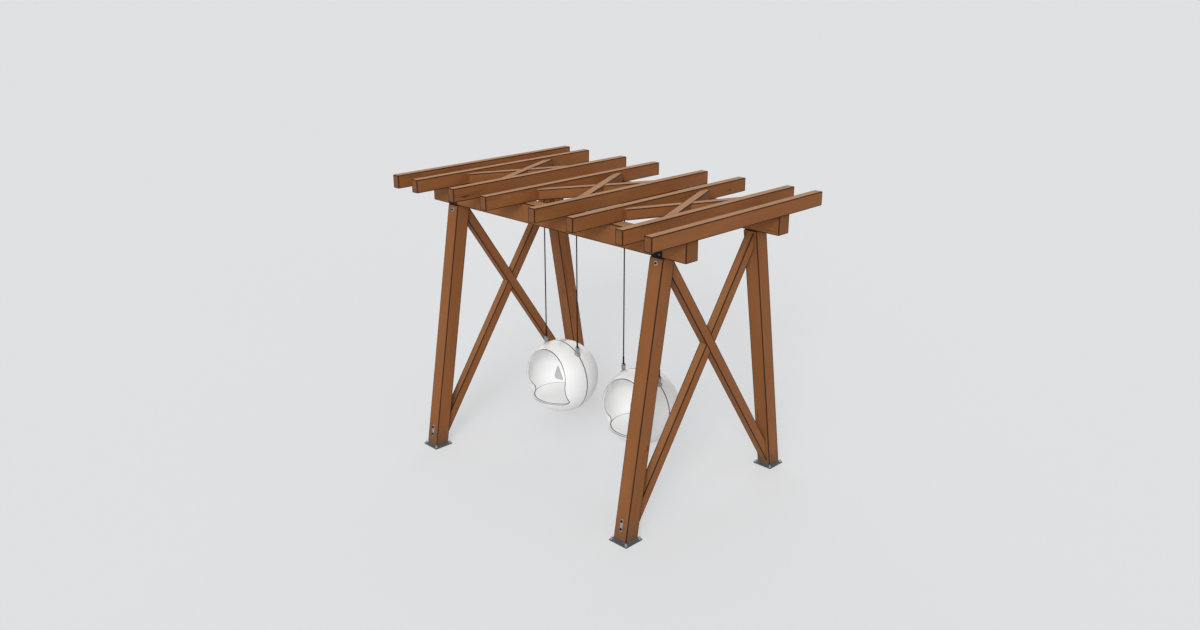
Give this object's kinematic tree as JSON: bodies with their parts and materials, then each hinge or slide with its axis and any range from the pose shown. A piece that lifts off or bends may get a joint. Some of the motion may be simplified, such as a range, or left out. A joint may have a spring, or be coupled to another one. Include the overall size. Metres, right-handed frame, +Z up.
{
  "type": "wooden pergola with hanging ball seats",
  "caption": "Open timber pergola on splayed legs with crossed braces, rafters over a pair of beams, and hollow ball seats that swing on cables below the roof.",
  "frame": {"origin": "on the ground under the middle of the roof", "axes": "+X along the beams, +Y along the rafters with the seats facing -Y, +Z up"},
  "size_m": [3.692, 2.5, 3.057],
  "materials": {
    "timber": "brown stained planed timber",
    "steel": "dark powder-coated steel",
    "cable": "dark twisted wire rope with steel ends",
    "shell": "smooth white moulded plastic"
  },
  "bodies": {
    "frame": {"rafter_1": "timber", "rafter_2": "timber", "rafter_3": "timber", "rafter_4": "timber", "rafter_5": "timber", "rafter_6": "timber", "rafter_7": "timber", "rafter_8": "timber", "front_beam": "timber", "back_beam": "timber", "front_left_leg": "timber", "front_right_leg": "timber", "back_left_leg": "timber", "back_right_leg": "timber", "left_end_brace_a": "timber", "left_end_brace_b": "timber", "right_end_brace_a": "timber", "right_end_brace_b": "timber", "left_roof_brace_a": "timber", "left_roof_brace_b": "timber", "middle_roof_brace_a": "timber", "middle_roof_brace_b": "timber", "right_roof_brace_a": "timber", "right_roof_brace_b": "timber", "front_left_shoe": "steel", "front_right_shoe": "steel", "back_left_shoe": "steel", "back_right_shoe": "steel", "front_left_bracket": "steel", "front_right_bracket": "steel", "back_left_bracket": "steel", "back_right_bracket": "steel", "left_hangers": "steel", "right_hangers": "steel"},
    "left_seat": {"left_cables": "cable", "left_lugs": "steel", "left_front_shell": "shell", "left_back_shell": "shell", "left_seat_pan": "shell"},
    "right_seat": {"right_cables": "cable", "right_lugs": "steel", "right_front_shell": "shell", "right_back_shell": "shell", "right_seat_pan": "shell"}
  },
  "joints": [
    {"name": "left_swing", "type": "hinge", "parent": "frame", "child": "left_seat", "pos_m": [-0.604, 0, 2.867], "axis": [1, 0, 0], "range_deg": [-45, 45]},
    {"name": "right_swing", "type": "hinge", "parent": "frame", "child": "right_seat", "pos_m": [0.604, 0, 2.867], "axis": [1, 0, 0], "range_deg": [-45, 45]}
  ]
}
